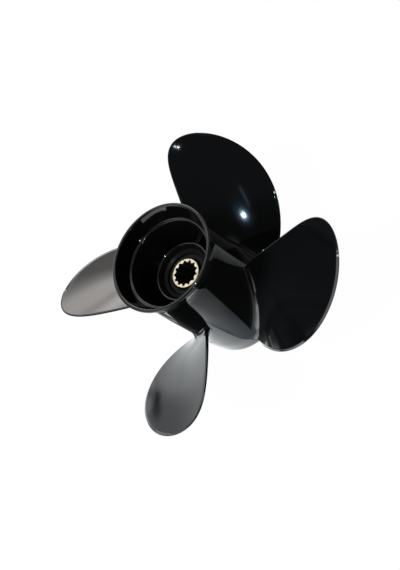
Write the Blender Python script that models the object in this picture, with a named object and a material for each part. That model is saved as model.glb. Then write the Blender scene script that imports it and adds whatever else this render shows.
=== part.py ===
"""A four-blade boat propeller for an outboard engine, standing on the forward rim of its hub.

Metres, +Z up. The Z axis is the line of the propeller shaft: the forward end of the hub is at z = 0 and the
flared ring of the exhaust outlet, the aft end, is on top. Blade 1 points along +Y, and seen from above the
leading edge of each blade lies clockwise of its trailing edge, so this is a right-hand propeller.
"""

import math

import bmesh
import bpy

# Clearance between two pieces that touch
GAP = 0.0003

# Barrel: the outer wall of the hub, which narrows slightly towards the aft end
HUB_LENGTH = 0.1340
NOSE_RADIUS = 0.0426
WIDEST_RADIUS = 0.0435
WIDEST_Z = 0.0190
BARREL_AFT_RADIUS = 0.0411
BARREL_BORE = 0.0370
NOSE_ROUNDING = 0.0020
BORE_EDGE = 0.0008
BARREL_RINGS = 4
BARREL_SIDES = 64

# Flared ring at the aft end, with the step where its mouth meets the bore of the barrel
FLARE_Z = 0.1140
RING_RADIUS = 0.0470
RING_MOUTH_RADIUS = 0.04375
RING_ROUNDING = 0.0012
FLARE_CURVE = 2.1
FLARE_STEPS = 6
STEP_RADIUS = 0.0395
STEP_Z = 0.1202
STEP_ROUNDING = 0.0009

# Inner hub tube, which holds the bushing and has a shallow cup at its aft end
TUBE_AFT_Z = 0.1000
TUBE_FORWARD_Z = 0.0060
TUBE_AFT_RADIUS = 0.0265
TUBE_FORWARD_RADIUS = 0.0285
TUBE_EDGE = 0.0007
CUP_RADIUS = 0.0243
CUP_FLOOR_RADIUS = 0.0225
CUP_FLOOR_Z = 0.0936
SHOULDER_RADIUS = 0.0185
SHOULDER_ROUNDING = 0.0010
SHOULDER_THICKNESS = 0.0080
BUSHING_BORE = 0.0220
TUBE_SIDES = 48

# Rubber bushing, pressed into the tube round the sleeve
BUSHING_FORWARD_Z = 0.0140
BUSHING_NECK_Z = 0.0915

# Brass sleeve with the splined bore
SLEEVE_RADIUS = 0.0130
SLEEVE_FORWARD_Z = 0.0100
SLEEVE_AFT_Z = 0.0951
SLEEVE_CHAMFER = 0.0005
SPLINE_TEETH = 13
SPLINE_TIP_RADIUS = 0.0099
SPLINE_ROOT_RADIUS = 0.0116
SPLINE_MOUTH_SHARE = 0.72
SPLINE_FLOOR_SHARE = 0.14
SPLINE_FLANK_STEPS = 4
SPLINE_TURN = math.radians(10.7)

# Ribs between the tube and the barrel, one under each blade
RIB_THICKNESS = 0.0050
RIB_FORWARD_Z = 0.0080
RIB_AFT_Z = 0.0970
RIB_ROUNDING = 0.0012

# Blades. A share is a fraction of the tip radius. The span runs from 0 at the reference radius to 1 at the
# tip.
BLADE_COUNT = 4
FIRST_BLADE_TURN = math.radians(90.0)
TIP_RADIUS = 0.1361
REFERENCE_RADIUS = 0.0400
CHORD_AT_HUB = 0.572
CHORD_GROWTH = 0.466
CHORD_FALL = -0.251
TIP_ROUNDNESS = 5.7
SKEW = -0.215
SKEW_MIDDLE = 0.118
SKEW_TIP = -0.314
PITCH_AT_HUB = 2.434
PITCH_CHANGE = -0.795
PITCH_RETURN = 0.748
ROOT_MIDDLE_Z = 0.0359
RAKE = 0.2585
RAKE_CURVE = 0.0343

# Blade thickness: in the middle of the chord, and at its two edges. A nose is the length of an edge's
# rounding, as a share of the thickness there.
ROOT_THICKNESS = 0.0085
TIP_THICKNESS = 0.0022
THICKNESS_FALL = 1.25
TRAILING_EDGE_ROOT = 0.0034
TRAILING_EDGE_TIP = 0.0016
LEADING_EDGE_THICKNESS = 0.0016
LEADING_NOSE = 2.0
TRAILING_NOSE = 0.45
FILLET_RADIUS = 0.0055
EDGE_FILLET_SHARE = 0.35
FILLET_LOSS_AT_EDGE = 0.55

# Share of the thickness that lies on the aft side of the helix
AFT_SHARE = 0.6

# How finely each blade is divided
CHORD_STEPS = 12
EDGE_STEPS = 4
FILLET_STEPS = 3
SPAN_STEPS = 13
SPAN_CROWDING = 1.7
LAST_SPAN = 0.9992

# Rounds of correction that set a point of the root on the barrel's wall
SEATING_ROUNDS = 8


def clear_scene():
    """Remove every object that the scene starts with."""
    for thing in list(bpy.data.objects):
        bpy.data.objects.remove(thing, do_unlink=True)


def make_material(name, colour, roughness, metallic):
    """A Principled material with one colour."""
    material = bpy.data.materials.new(name)
    material.use_nodes = True
    shader = material.node_tree.nodes["Principled BSDF"]
    shader.inputs["Base Color"].default_value = (*colour, 1.0)
    shader.inputs["Roughness"].default_value = roughness
    shader.inputs["Metallic"].default_value = metallic
    return material


def add_object(name, bm, material, sharp_angle=35.0):
    """Turn a bmesh into a named object, shaded smooth except at its sharp edges."""
    bmesh.ops.recalc_face_normals(bm, faces=bm.faces)
    mesh = bpy.data.meshes.new(name)
    bm.to_mesh(mesh)
    bm.free()
    mesh.shade_smooth()
    mesh.set_sharp_from_angle(angle=math.radians(sharp_angle))
    mesh.materials.append(material)
    thing = bpy.data.objects.new(name, mesh)
    bpy.context.scene.collection.objects.link(thing)
    return thing


def rounding(radius, z, size, start, end, steps=3):
    """Points (radius, z) along an arc about a centre, from one angle to the other in degrees."""
    points = []
    for step in range(steps + 1):
        angle = math.radians(start + (end - start) * step / steps)
        points.append((radius + size * math.cos(angle), z + size * math.sin(angle)))
    return points


def add_turned(name, profile, sides, material):
    """Spin a closed profile of (radius, z) points once round the Z axis."""
    bm = bmesh.new()
    ring = [bm.verts.new((radius, 0.0, z)) for radius, z in profile]
    edges = [bm.edges.new((ring[i - 1], ring[i])) for i in range(len(ring))]
    bmesh.ops.spin(
        bm,
        geom=edges,
        cent=(0.0, 0.0, 0.0),
        axis=(0.0, 0.0, 1.0),
        angle=math.tau,
        steps=sides,
        use_merge=True,
    )
    return add_object(name, bm, material)


def barrel_radius(z):
    """Outer radius of the barrel at a height."""
    if z < WIDEST_Z:
        return NOSE_RADIUS + (WIDEST_RADIUS - NOSE_RADIUS) * z / WIDEST_Z
    share = (z - WIDEST_Z) / (FLARE_Z - WIDEST_Z)
    return WIDEST_RADIUS + (BARREL_AFT_RADIUS - WIDEST_RADIUS) * share


def tube_radius(z):
    """Outer radius of the inner hub tube at a height."""
    share = (z - TUBE_FORWARD_Z) / (TUBE_AFT_Z - TUBE_FORWARD_Z)
    return TUBE_FORWARD_RADIUS + (TUBE_AFT_RADIUS - TUBE_FORWARD_RADIUS) * share


def add_barrel(material):
    """The outer wall of the hub, open at both ends."""
    top = FLARE_Z - GAP
    nose_radius = barrel_radius(NOSE_ROUNDING) - NOSE_ROUNDING
    profile = rounding(nose_radius, NOSE_ROUNDING, NOSE_ROUNDING, -90.0, 0.0)
    profile.append((barrel_radius(0.5 * WIDEST_Z), 0.5 * WIDEST_Z))
    for step in range(BARREL_RINGS + 1):
        z = WIDEST_Z + (top - WIDEST_Z) * step / BARREL_RINGS
        profile.append((barrel_radius(z), z))
    profile.append((BARREL_BORE, top))
    profile.append((BARREL_BORE, BORE_EDGE))
    profile.append((BARREL_BORE + BORE_EDGE, 0.0))
    return add_turned("hub_barrel", profile, BARREL_SIDES, material)


def add_flare_ring(material):
    """The ring that flares out at the aft end of the barrel, with a stepped mouth."""
    lip_z = HUB_LENGTH - RING_ROUNDING
    profile = []
    for step in range(FLARE_STEPS):
        share = step / FLARE_STEPS
        radius = BARREL_AFT_RADIUS + (RING_RADIUS - BARREL_AFT_RADIUS) * share**FLARE_CURVE
        profile.append((radius, FLARE_Z + (lip_z - FLARE_Z) * share))
    profile += rounding(RING_RADIUS - RING_ROUNDING, lip_z, RING_ROUNDING, 0.0, 90.0)
    profile += rounding(RING_MOUTH_RADIUS + RING_ROUNDING, lip_z, RING_ROUNDING, 90.0, 180.0)
    profile.append((STEP_RADIUS, STEP_Z))
    profile += rounding(BARREL_BORE + STEP_ROUNDING, STEP_Z - STEP_ROUNDING, STEP_ROUNDING, 90.0, 180.0)
    profile.append((BARREL_BORE, FLARE_Z))
    return add_turned("exhaust_flare_ring", profile, BARREL_SIDES, material)


def add_inner_tube(material):
    """The tube in the middle of the hub, with a cup at its aft end and a shoulder over the bushing."""
    shoulder_forward_z = CUP_FLOOR_Z - SHOULDER_THICKNESS
    shoulder_z = CUP_FLOOR_Z - SHOULDER_ROUNDING
    profile = [(TUBE_FORWARD_RADIUS, TUBE_FORWARD_Z)]
    profile += rounding(TUBE_AFT_RADIUS - TUBE_EDGE, TUBE_AFT_Z - TUBE_EDGE, TUBE_EDGE, 0.0, 90.0, steps=2)
    profile += rounding(CUP_RADIUS + TUBE_EDGE, TUBE_AFT_Z - TUBE_EDGE, TUBE_EDGE, 90.0, 180.0, steps=2)
    profile.append((CUP_FLOOR_RADIUS, CUP_FLOOR_Z))
    profile += rounding(SHOULDER_RADIUS + SHOULDER_ROUNDING, shoulder_z, SHOULDER_ROUNDING, 90.0, 180.0)
    profile.append((SHOULDER_RADIUS, shoulder_forward_z))
    profile.append((BUSHING_BORE, shoulder_forward_z))
    profile.append((BUSHING_BORE, TUBE_FORWARD_Z))
    return add_turned("inner_hub_tube", profile, TUBE_SIDES, material)


def add_bushing(material):
    """The rubber bushing, with a narrower neck that fills the hole in the shoulder."""
    inner = SLEEVE_RADIUS + GAP
    body_top = CUP_FLOOR_Z - SHOULDER_THICKNESS - GAP
    profile = [
        (BUSHING_BORE - GAP, BUSHING_FORWARD_Z),
        (BUSHING_BORE - GAP, body_top),
        (SHOULDER_RADIUS - GAP, body_top),
        (SHOULDER_RADIUS - GAP, BUSHING_NECK_Z),
        (inner, BUSHING_NECK_Z),
        (inner, BUSHING_FORWARD_Z),
    ]
    return add_turned("rubber_bushing", profile, TUBE_SIDES, material)


def flank():
    """Points (share of the pitch, radius) up one side of a notch, from a tooth's middle to the floor."""
    points = [(1.0, SPLINE_TIP_RADIUS)]
    for step in range(SPLINE_FLANK_STEPS + 1):
        rise = step / SPLINE_FLANK_STEPS
        share = SPLINE_MOUTH_SHARE + (SPLINE_FLOOR_SHARE - SPLINE_MOUTH_SHARE) * rise
        smooth = rise * rise * (3.0 - 2.0 * rise)
        points.append((share, SPLINE_TIP_RADIUS + (SPLINE_ROOT_RADIUS - SPLINE_TIP_RADIUS) * smooth))
    return points


def spline_outline():
    """Points (angle, radius) round the splined bore: into each notch, over its floor and out again."""
    pitch = math.tau / SPLINE_TEETH
    outline = []
    for tooth in range(SPLINE_TEETH):
        middle = SPLINE_TURN + tooth * pitch
        for share, radius in flank():
            outline.append((middle - 0.5 * share * pitch, radius))
        outline.append((middle, SPLINE_ROOT_RADIUS))
        for share, radius in flank()[:0:-1]:
            outline.append((middle + 0.5 * share * pitch, radius))
    return outline


def add_sleeve(material):
    """The brass sleeve: round outside, splined inside."""
    outline = spline_outline()
    bore = [radius for angle, radius in outline]
    loops = [
        ([SLEEVE_RADIUS - SLEEVE_CHAMFER] * len(outline), SLEEVE_FORWARD_Z),
        ([SLEEVE_RADIUS] * len(outline), SLEEVE_FORWARD_Z + SLEEVE_CHAMFER),
        ([SLEEVE_RADIUS] * len(outline), SLEEVE_AFT_Z - SLEEVE_CHAMFER),
        ([SLEEVE_RADIUS - SLEEVE_CHAMFER] * len(outline), SLEEVE_AFT_Z),
        (bore, SLEEVE_AFT_Z),
        (bore, SLEEVE_FORWARD_Z),
    ]
    bm = bmesh.new()
    rows = []
    for radii, z in loops:
        row = []
        for (angle, _), radius in zip(outline, radii):
            row.append(bm.verts.new((radius * math.cos(angle), radius * math.sin(angle), z)))
        rows.append(row)
    join_rows(bm, rows, closed=True)
    return add_object("splined_sleeve", bm, material)


def join_rows(bm, rows, closed):
    """Faces between each row of points and the next, and from the last row to the first if closed."""
    count = len(rows[0])
    pairs = list(zip(rows, rows[1:]))
    if closed:
        pairs.append((rows[-1], rows[0]))
    for lower, upper in pairs:
        for i in range(count):
            j = (i + 1) % count
            bm.faces.new((lower[i], lower[j], upper[j], upper[i]))


def add_rib(number, turn, material):
    """A flat rib from the tube to the barrel, its aft and forward edges rounded."""
    bm = bmesh.new()
    half = 0.5 * RIB_THICKNESS
    corners = []
    for z in (RIB_FORWARD_Z, RIB_AFT_Z):
        inner = tube_radius(z) + GAP
        outer = BARREL_BORE - GAP
        row = []
        for radius, side in ((inner, -half), (outer, -half), (outer, half), (inner, half)):
            x = radius * math.cos(turn) - side * math.sin(turn)
            y = radius * math.sin(turn) + side * math.cos(turn)
            row.append(bm.verts.new((x, y, z)))
        corners.append(row)
    join_rows(bm, corners, closed=False)
    bm.faces.new(corners[0])
    bm.faces.new(corners[1])
    long_edges = []
    for row in corners:
        long_edges.append(bm.edges.get((row[0], row[1])))
        long_edges.append(bm.edges.get((row[2], row[3])))
    bmesh.ops.bevel(bm, geom=long_edges, offset=RIB_ROUNDING, segments=2, profile=0.5, affect="EDGES")
    return add_object(f"hub_rib_{number}", bm, material)


def closing(span):
    """How far the outline is still open: 1 near the hub, falling to 0 at the tip."""
    return math.sqrt(max(0.0, 1.0 - span**TIP_ROUNDNESS))


def chord_length(span):
    """Length of the blade section along its helix."""
    return TIP_RADIUS * closing(span) * (CHORD_AT_HUB + CHORD_GROWTH * span + CHORD_FALL * span**2)


def middle_shift(span):
    """How far the middle of the section lies along the helix from the blade's own line."""
    return TIP_RADIUS * (SKEW * span + SKEW_MIDDLE * span**2 + SKEW_TIP * span**3)


def pitch_angle(span, radius):
    """Angle of the helix to the plane of rotation."""
    pitch = TIP_RADIUS * (PITCH_AT_HUB + PITCH_CHANGE * span + PITCH_RETURN * span**2)
    return math.atan2(pitch, math.tau * radius)


def middle_z(span):
    """Height of the blade's own line: it rakes aft towards the tip."""
    return ROOT_MIDDLE_Z + TIP_RADIUS * (RAKE * span + RAKE_CURVE * span**2)


def rim_direction(span, side):
    """Direction out of the outline, along the helix and along the radius, at one edge (-1 or 1)."""
    open_share = closing(span)
    width = CHORD_AT_HUB + CHORD_GROWTH * span + CHORD_FALL * span**2
    half_slope = open_share**2 * (CHORD_GROWTH + 2.0 * CHORD_FALL * span)
    half_slope -= 0.5 * TIP_ROUNDNESS * abs(span) ** (TIP_ROUNDNESS - 1.0) * width
    shift_slope = SKEW + 2.0 * SKEW_MIDDLE * span + 3.0 * SKEW_TIP * span**2
    lean = TIP_RADIUS * (shift_slope * open_share + side * 0.5 * half_slope)
    across = (TIP_RADIUS - REFERENCE_RADIUS) * open_share
    size = math.hypot(across, lean)
    return side * across / size, -side * lean / size


def edge_thickness(span, place):
    """Thickness that the blade would have without its crown: blunt behind, thin in front."""
    reach = max(0.0, min(1.0, span))
    trailing = TRAILING_EDGE_ROOT + (TRAILING_EDGE_TIP - TRAILING_EDGE_ROOT) * reach
    return 0.5 * (trailing + LEADING_EDGE_THICKNESS) + 0.5 * (LEADING_EDGE_THICKNESS - trailing) * place


def thickness(span, place):
    """Thickness at a place on the chord, from -1 at the trailing edge to 1 at the leading edge."""
    reach = max(0.0, min(1.0, span))
    thickest = TIP_THICKNESS + (ROOT_THICKNESS - TIP_THICKNESS) * (1.0 - reach) ** THICKNESS_FALL
    crown = max(0.0, thickest - edge_thickness(span, 0.0)) * closing(span)
    return edge_thickness(span, place) + crown * (1.0 - place**2)


def nose(span, place, depth):
    """How far a point is drawn in from the outline to round the edges: along the helix and outwards."""
    lead = 0.5 + 0.5 * place
    size = edge_thickness(span, place) * (TRAILING_NOSE + (LEADING_NOSE - TRAILING_NOSE) * lead)
    drawn_in = size * (math.sqrt(max(0.0, 1.0 - (2.0 * depth - 1.0) ** 2)) - 1.0)
    lead_along, lead_out = rim_direction(span, 1.0)
    trail_along, trail_out = rim_direction(span, -1.0)
    along = lead_along * lead + trail_along * (1.0 - lead)
    out = lead_out * lead + trail_out * (1.0 - lead)
    return along * drawn_in, out * drawn_in


def blade_point(span, height, place, depth, turn):
    """A point of a blade: height is its height over the barrel, depth runs from 0 on the aft face to 1."""
    nose_along, nose_out = nose(span, place, depth)
    radius = REFERENCE_RADIUS + (TIP_RADIUS - REFERENCE_RADIUS) * span + nose_out
    own_span = (radius - REFERENCE_RADIUS) / (TIP_RADIUS - REFERENCE_RADIUS)
    flare = 0.0
    if height < FILLET_RADIUS:
        share = 1.0 - height / FILLET_RADIUS
        flare = FILLET_RADIUS * (1.0 - math.sqrt(1.0 - share**2)) * (1.0 - FILLET_LOSS_AT_EDGE * place**4)
    slope = pitch_angle(own_span, radius)
    along = middle_shift(span) + place * (0.5 * chord_length(span) + EDGE_FILLET_SHARE * flare) + nose_along
    across = (depth - AFT_SHARE) * thickness(span, place) + (2.0 * depth - 1.0) * flare
    angle = turn + (across * math.sin(slope) - along * math.cos(slope)) / radius
    z = middle_z(own_span) - along * math.sin(slope) - across * math.cos(slope)
    return radius, angle, z


def root_span(place, depth, height):
    """Span at which a point of the blade stands at a height over the barrel's wall."""
    span = 0.0
    for _ in range(SEATING_ROUNDS):
        radius, _, z = blade_point(span, height, place, depth, 0.0)
        wanted = barrel_radius(max(z, 0.0)) + GAP + height
        span += (wanted - radius) / (TIP_RADIUS - REFERENCE_RADIUS)
    return span


def chord_place(step):
    """Place on the chord, from -1 at the trailing edge to 1 at the leading edge, after some steps."""
    return -1.0 + 2.0 * step / CHORD_STEPS


def edge_depth(step):
    """Depth through the blade, from 0 on the aft face to 1, after some steps round an edge."""
    return 0.5 - 0.5 * math.cos(math.pi * step / EDGE_STEPS)


def blade_stations():
    """Places (chord, depth) once round a section: along the aft face, over the edge, back, over the edge."""
    stations = []
    for step in range(CHORD_STEPS):
        stations.append((chord_place(step), 0.0))
    for step in range(EDGE_STEPS):
        stations.append((1.0, edge_depth(step)))
    for step in range(CHORD_STEPS):
        stations.append((chord_place(CHORD_STEPS - step), 1.0))
    for step in range(EDGE_STEPS):
        stations.append((-1.0, edge_depth(EDGE_STEPS - step)))
    return stations


def blade_rows():
    """Span shares and heights of the rows: through the root fillet first, then out to the tip."""
    rows = []
    for step in range(FILLET_STEPS + 1):
        share = step / FILLET_STEPS
        rows.append(("fillet", FILLET_RADIUS * (1.0 - math.cos(0.5 * math.pi * share))))
    for step in range(1, SPAN_STEPS + 1):
        rows.append(("span", step / SPAN_STEPS))
    return rows


def add_blade(number, turn, material):
    """One blade: sections from the barrel's wall out to the rounded tip, closed at both ends."""
    bm = bmesh.new()
    stations = blade_stations()
    rows = []
    for kind, value in blade_rows():
        row = []
        for place, depth in stations:
            if kind == "fillet":
                height = value
                span = root_span(place, depth, height)
            else:
                start = root_span(place, depth, FILLET_RADIUS)
                share = 1.0 - (1.0 - value) ** SPAN_CROWDING
                span = start + (LAST_SPAN - start) * share
                height = FILLET_RADIUS
            radius, angle, z = blade_point(span, height, place, depth, turn)
            row.append(bm.verts.new((radius * math.cos(angle), radius * math.sin(angle), z)))
        rows.append(row)
    join_rows(bm, rows, closed=False)
    close_end(bm, rows[0], turn, at_root=True)
    close_end(bm, rows[-1], turn, at_root=False)
    return add_object(f"blade_{number}", bm, material)


def close_end(bm, row, turn, at_root):
    """A grid of faces over the root, just clear of the barrel's wall, or over the rounded tip."""
    face = row[: CHORD_STEPS + 1]
    leading = row[CHORD_STEPS : CHORD_STEPS + EDGE_STEPS + 1]
    back = row[CHORD_STEPS + EDGE_STEPS : 2 * CHORD_STEPS + EDGE_STEPS + 1][::-1]
    trailing = (row[2 * CHORD_STEPS + EDGE_STEPS :] + [row[0]])[::-1]
    grid = [face]
    height = 0.0 if at_root else FILLET_RADIUS
    for step in range(1, EDGE_STEPS):
        depth = edge_depth(step)
        line = [trailing[step]]
        for i in range(1, CHORD_STEPS):
            place = chord_place(i)
            span = root_span(place, depth, height) if at_root else LAST_SPAN
            radius, angle, z = blade_point(span, height, place, depth, turn)
            line.append(bm.verts.new((radius * math.cos(angle), radius * math.sin(angle), z)))
        line.append(leading[step])
        grid.append(line)
    grid.append(back)
    for lower, upper in zip(grid, grid[1:]):
        for i in range(CHORD_STEPS):
            bm.faces.new((lower[i], lower[i + 1], upper[i + 1], upper[i]))


def build():
    """Make every sub-part."""
    clear_scene()
    enamel = make_material("black_enamel", (0.010, 0.011, 0.013), 0.12, 0.0)
    rubber = make_material("black_rubber", (0.012, 0.012, 0.012), 0.65, 0.0)
    brass = make_material("pale_brass", (0.86, 0.76, 0.56), 0.30, 1.0)
    add_barrel(enamel)
    add_flare_ring(enamel)
    add_inner_tube(enamel)
    add_bushing(rubber)
    add_sleeve(brass)
    for index in range(BLADE_COUNT):
        turn = FIRST_BLADE_TURN - index * math.tau / BLADE_COUNT
        add_rib(index + 1, turn, enamel)
        add_blade(index + 1, turn, enamel)


build()
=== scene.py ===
"""A four-blade boat propeller, finished in gloss black, dressed over its packed frame.

Metres, +Z up. The Z axis is the line of the propeller shaft: the hub stands on its forward rim at z = 0, and the
flared ring of the exhaust outlet, the aft end, is on top.
"""

import math
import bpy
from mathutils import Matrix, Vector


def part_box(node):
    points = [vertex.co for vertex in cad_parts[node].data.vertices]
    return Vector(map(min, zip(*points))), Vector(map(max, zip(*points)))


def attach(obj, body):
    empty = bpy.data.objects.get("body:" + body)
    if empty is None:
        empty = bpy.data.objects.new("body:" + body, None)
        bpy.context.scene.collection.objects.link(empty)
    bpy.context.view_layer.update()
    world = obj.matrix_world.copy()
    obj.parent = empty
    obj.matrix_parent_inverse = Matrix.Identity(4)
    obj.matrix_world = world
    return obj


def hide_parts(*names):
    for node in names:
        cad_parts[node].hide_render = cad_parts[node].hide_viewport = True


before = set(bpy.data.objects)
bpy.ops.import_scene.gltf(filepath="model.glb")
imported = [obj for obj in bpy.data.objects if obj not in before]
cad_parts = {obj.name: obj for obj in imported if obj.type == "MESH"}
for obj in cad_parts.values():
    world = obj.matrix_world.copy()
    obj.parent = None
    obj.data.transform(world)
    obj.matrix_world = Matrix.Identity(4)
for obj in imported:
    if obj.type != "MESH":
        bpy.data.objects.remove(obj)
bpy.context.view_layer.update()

from types import SimpleNamespace

import bmesh
import bpy
from bpy.props import FloatProperty, FloatVectorProperty, IntProperty, PointerProperty
from mathutils import Matrix, Vector

bl_info = {
    "name": "Boat propeller",
    "version": (1, 0, 0),
    "blender": (4, 5, 0),
    "location": "3D View > Sidebar > Propeller",
    "description": "Models and finishes the hub, blades, bushing and splined sleeve of a boat propeller",
    "category": "Add Mesh",
}

BODY = "root"
BLADE_COUNT = 4
RIB_COUNT = 4
BLADE_NODES = [f"blade_{number}" for number in range(1, BLADE_COUNT + 1)]
RIB_NODES = [f"hub_rib_{number}" for number in range(1, RIB_COUNT + 1)]

# The frame's own boxes, from which the sizes that both models share are read
BARREL_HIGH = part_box("hub_barrel")[1]
RING_LOW, RING_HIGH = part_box("exhaust_flare_ring")
TUBE_LOW, TUBE_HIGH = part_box("inner_hub_tube")
BUSHING_LOW, BUSHING_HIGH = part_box("rubber_bushing")
SLEEVE_LOW, SLEEVE_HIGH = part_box("splined_sleeve")
RIB_LOW, RIB_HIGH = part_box(RIB_NODES[1])

# How finely the turned walls and the blades are divided
WALL_SIDES = 256
ARC_STEPS = 6
CORNER_STEPS = 4
NOSE_STEPS = 4
TAPER_STEPS = 16
FLARE_STEPS = 16
NOTCH_STEPS = 16
BLADE_CHORD_STEPS = 64
BLADE_RIM_STEPS = 14
BLADE_SPAN_STEPS = 96

# Small sizes of the hub and the sleeve, in metres
BORE_EDGE = 0.0008
STEP_CORNER = 0.0010
CUP_CORNER = 0.0012
NECK_EDGE = 0.0006
GROOVE_DEPTH = 0.0030
RIB_SINK = 0.0004
NOTCH_EDGE = 0.00025
PAINT_MARGIN = 0.0001
WELD = 0.00001

# Share of the blade's rows that lie in the root fillet, how the others crowd towards the tip, and where they end
FILLET_ROWS = 0.14
CROWDING = 1.9
LAST_SPAN = 0.99995


def length(description, default):
    """A size in metres. This and the other kinds of property get their names from their keys, in register."""
    return FloatProperty(description=description, default=default, unit="LENGTH", precision=5)


def share(description, default):
    """A number without a unit, such as a fraction of another size."""
    return FloatProperty(description=description, default=default, precision=4)


def turn(description, degrees):
    """An angle, given here in degrees."""
    return FloatProperty(description=description, default=math.radians(degrees), unit="ROTATION")


def colour(description, default):
    """A linear colour."""
    return FloatVectorProperty(description=description, default=default, subtype="COLOR", min=0.0)


class HubSizes(bpy.types.PropertyGroup):
    """Sizes of the barrel, the flared ring and the tube inside them"""

    nose_radius: length("Outer radius of the forward rim", 0.0426)
    widest_radius: length("Outer radius where the barrel is widest", BARREL_HIGH.x)
    widest_height: length("Height at which the barrel is widest", 0.0190)
    aft_radius: length("Outer radius where the flare starts", 0.0411)
    bore: length("Inner radius of the barrel", 0.0370)
    nose_rounding: length("Rounding of the forward rim", 0.0020)
    flare_height: length("Height at which the flare starts", RING_LOW.z)
    top_height: length("Height of the ring's lip", RING_HIGH.z)
    ring_radius: length("Outer radius of the ring's lip", RING_HIGH.x)
    mouth_radius: length("Inner radius of the ring's lip", 0.04375)
    ring_rounding: length("Rounding of the ring's lip", 0.0012)
    flare_curve: share("How late the flare opens; 1 is a cone", 2.1)
    step_radius: length("Outer radius of the step inside the mouth", 0.0395)
    step_height: length("Height of the step inside the mouth", 0.1202)
    step_rounding: length("Rounding of the step's inner edge", 0.0009)
    tube_forward_radius: length("Outer radius at the tube's forward end", TUBE_HIGH.x)
    tube_aft_radius: length("Outer radius at the tube's aft end", 0.0265)
    tube_edge: length("Rounding of the tube's aft rim", 0.0007)
    cup_radius: length("Radius of the cup at its rim", 0.0243)
    cup_floor_radius: length("Radius of the cup at its floor", 0.0225)
    cup_floor_height: length("Height of the cup's floor", 0.0936)
    shoulder_radius: length("Radius of the hole in the cup's floor", 0.0185)
    shoulder_rounding: length("Rounding of the edge of that hole", 0.0010)
    shoulder_thickness: length("Depth of that hole", 0.0080)
    rib_rounding: length("Rounding of the ribs' ends", 0.0012)
    seat_depth: length("How far a blade is sunk into the barrel's wall", 0.00003)


class BladeSizes(bpy.types.PropertyGroup):
    """Sizes of one blade. Shares are fractions of the tip radius, along a span from 0 at the start to 1 at the tip"""

    tip_radius: length("Distance from the shaft's line to the tip", 0.13588)
    reference_radius: length("Radius at which the span starts", 0.0400)
    chord_at_hub: share("Width of the blade at the start", 0.572)
    chord_growth: share("How the width grows", 0.466)
    chord_fall: share("How that growth bends back", -0.251)
    tip_roundness: share("How late the outline closes", 5.7)
    skew: share("How the blade leans back along its helix", -0.215)
    skew_middle: share("How that lean bends halfway out", 0.118)
    skew_tip: share("How that lean bends near the tip", -0.314)
    pitch_at_hub: share("Advance in one turn at the start", 2.434)
    pitch_change: share("How the advance changes", -0.795)
    pitch_return: share("How that change bends back", 0.748)
    root_height: length("Height of the middle at the start", 0.0359)
    rake: share("How the blade leans aft", 0.2585)
    rake_curve: share("How that lean grows towards the tip", 0.0343)
    root_thickness: length("Greatest thickness at the hub", 0.0085)
    tip_thickness: length("Greatest thickness near the tip", 0.0022)
    thickness_fall: share("How soon the blade thins", 1.25)
    trailing_edge_root: length("Thickness of the trailing edge at the hub", 0.0034)
    trailing_edge_tip: length("Thickness of that edge at the tip", 0.0016)
    leading_edge: length("Thickness of the leading edge", 0.0016)
    leading_nose: share("Length of its bevel, in thicknesses of that edge", 1.5)
    leading_bevel: share("Share of that thickness aft of the bevel's peak", 0.62)
    trailing_nose: share("Length of its rounding, in thicknesses of that edge", 0.85)
    aft_share: share("Share of the thickness aft of the helix", 0.6)
    fillet_radius: length("Radius of the fillet at the barrel", 0.0064)
    edge_fillet_share: share("Share of the fillet that widens the chord", 0.35)
    fillet_loss: share("Share of the fillet that is lost at the edges", 0.55)
    first_turn: turn("Direction in which the first blade points", 90.0)


class SleeveSizes(bpy.types.PropertyGroup):
    """Sizes of the rubber bushing and of the splined sleeve in it"""

    radius: length("Outer radius of the sleeve", 0.0130)
    chamfer: length("Chamfer of the sleeve's outer edges", 0.0005)
    teeth: IntProperty(description="Number of splines round the bore", default=13, min=3)
    tooth_radius: length("Radius of the bore at the tips of the teeth", 0.0099)
    notch_radius: length("Radius of the bore at the bottom of the notches", 0.0116)
    mouth_share: share("Width of a notch's mouth, as a share of the pitch", 0.72)
    floor_share: share("Width of a notch's bottom, as a share of the pitch", 0.14)
    first_turn: turn("Direction of the first notch", 10.7)
    neck_height: length("Height of the bushing round the sleeve", BUSHING_HIGH.z)
    bushing_groove: length("Width of the groove round the sleeve", 0.0011)


class FinishSettings(bpy.types.PropertyGroup):
    """Colours and gloss of the finishes"""

    enamel: colour("Colour of the gloss enamel", (0.0018, 0.0021, 0.0026))
    enamel_warm: colour("Colour that the enamel drifts to in places", (0.0024, 0.0025, 0.0025))
    enamel_gloss: share("Roughness of the enamel's clear top", 0.07)
    enamel_haze: share("Roughness of the enamel under its clear top", 0.095)
    inside_paint: colour("Colour of the dry paint inside the hub", (0.0016, 0.0016, 0.0017))
    rubber: colour("Colour of the bushing", (0.0075, 0.0075, 0.0078))
    brass: colour("Colour of the sleeve", (0.90, 0.80, 0.60))
    brass_dark: colour("Colour of the sleeve where it has toned", (0.80, 0.68, 0.48))
    # Painted shade: a near black that stands for the shade in the sleeve's bore and on its outer wall in the
    # bushing's groove
    bore: colour("Colour of the sleeve's bore and outer wall", (0.010, 0.011, 0.009))


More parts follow.
